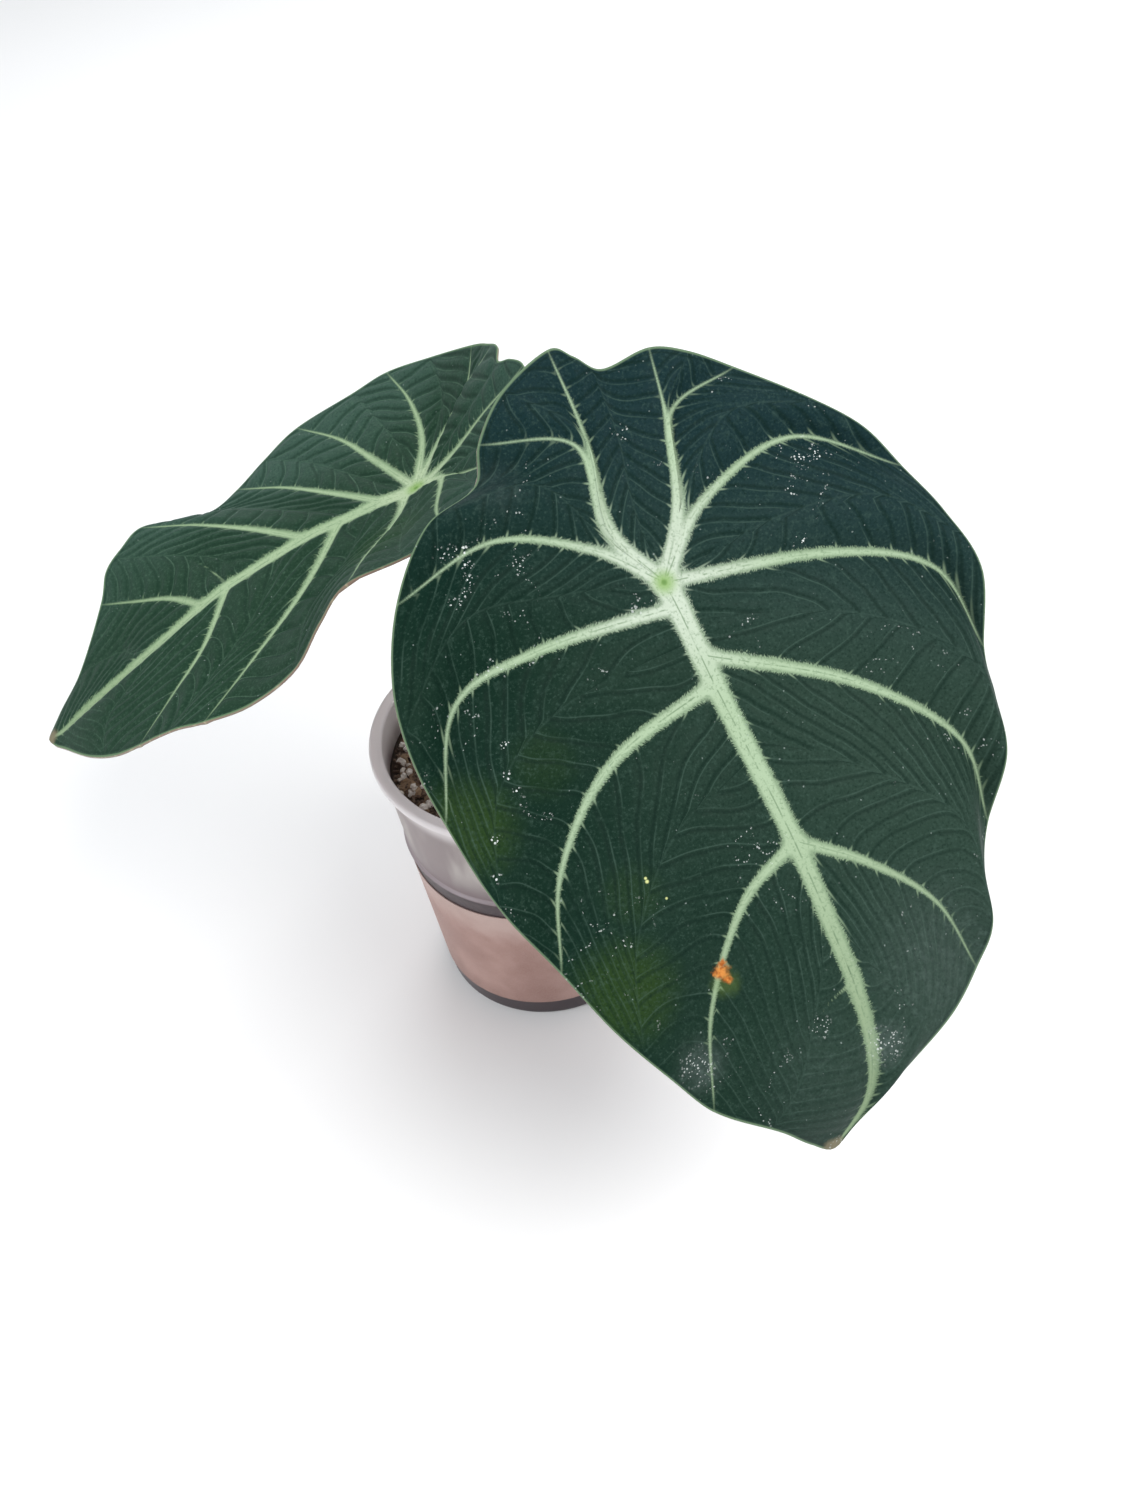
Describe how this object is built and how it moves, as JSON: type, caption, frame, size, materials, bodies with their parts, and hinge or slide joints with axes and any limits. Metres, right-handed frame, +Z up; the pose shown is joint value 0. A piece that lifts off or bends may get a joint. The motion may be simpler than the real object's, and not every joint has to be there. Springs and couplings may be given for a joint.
{
  "type": "potted alocasia black velvet plant",
  "caption": "Dark velvety aroid with broad waved shield leaves and pale raised veins, growing from soil in a frosted tapered plastic pot with a bare label.",
  "frame": {"origin": "centre of the pot's flat base, on the surface it stands on", "axes": "+Z up along the pot's axis; the large front leaf hangs towards -Y and the side leaf reaches towards -X"},
  "size_m": [0.253, 0.23, 0.233],
  "materials": {
    "frosted_plastic": "frosted translucent",
    "label_paper": "satin, bare",
    "potting_soil": "moist crumbly bark mix",
    "rhizome_bark": "rough with leaf scars",
    "petiole_green": "smooth satin",
    "blade_dark": "velvety blackish green with pale veins",
    "blade_green": "velvety deep green with pale veins"
  },
  "bodies": {
    "root": {"pot": "frosted_plastic", "label": "label_paper", "soil": "potting_soil", "rhizome": "rhizome_bark", "petiole_front": "petiole_green", "petiole_side": "petiole_green", "leaf_front": "blade_dark", "leaf_side": "blade_green"}
  },
  "joints": []
}
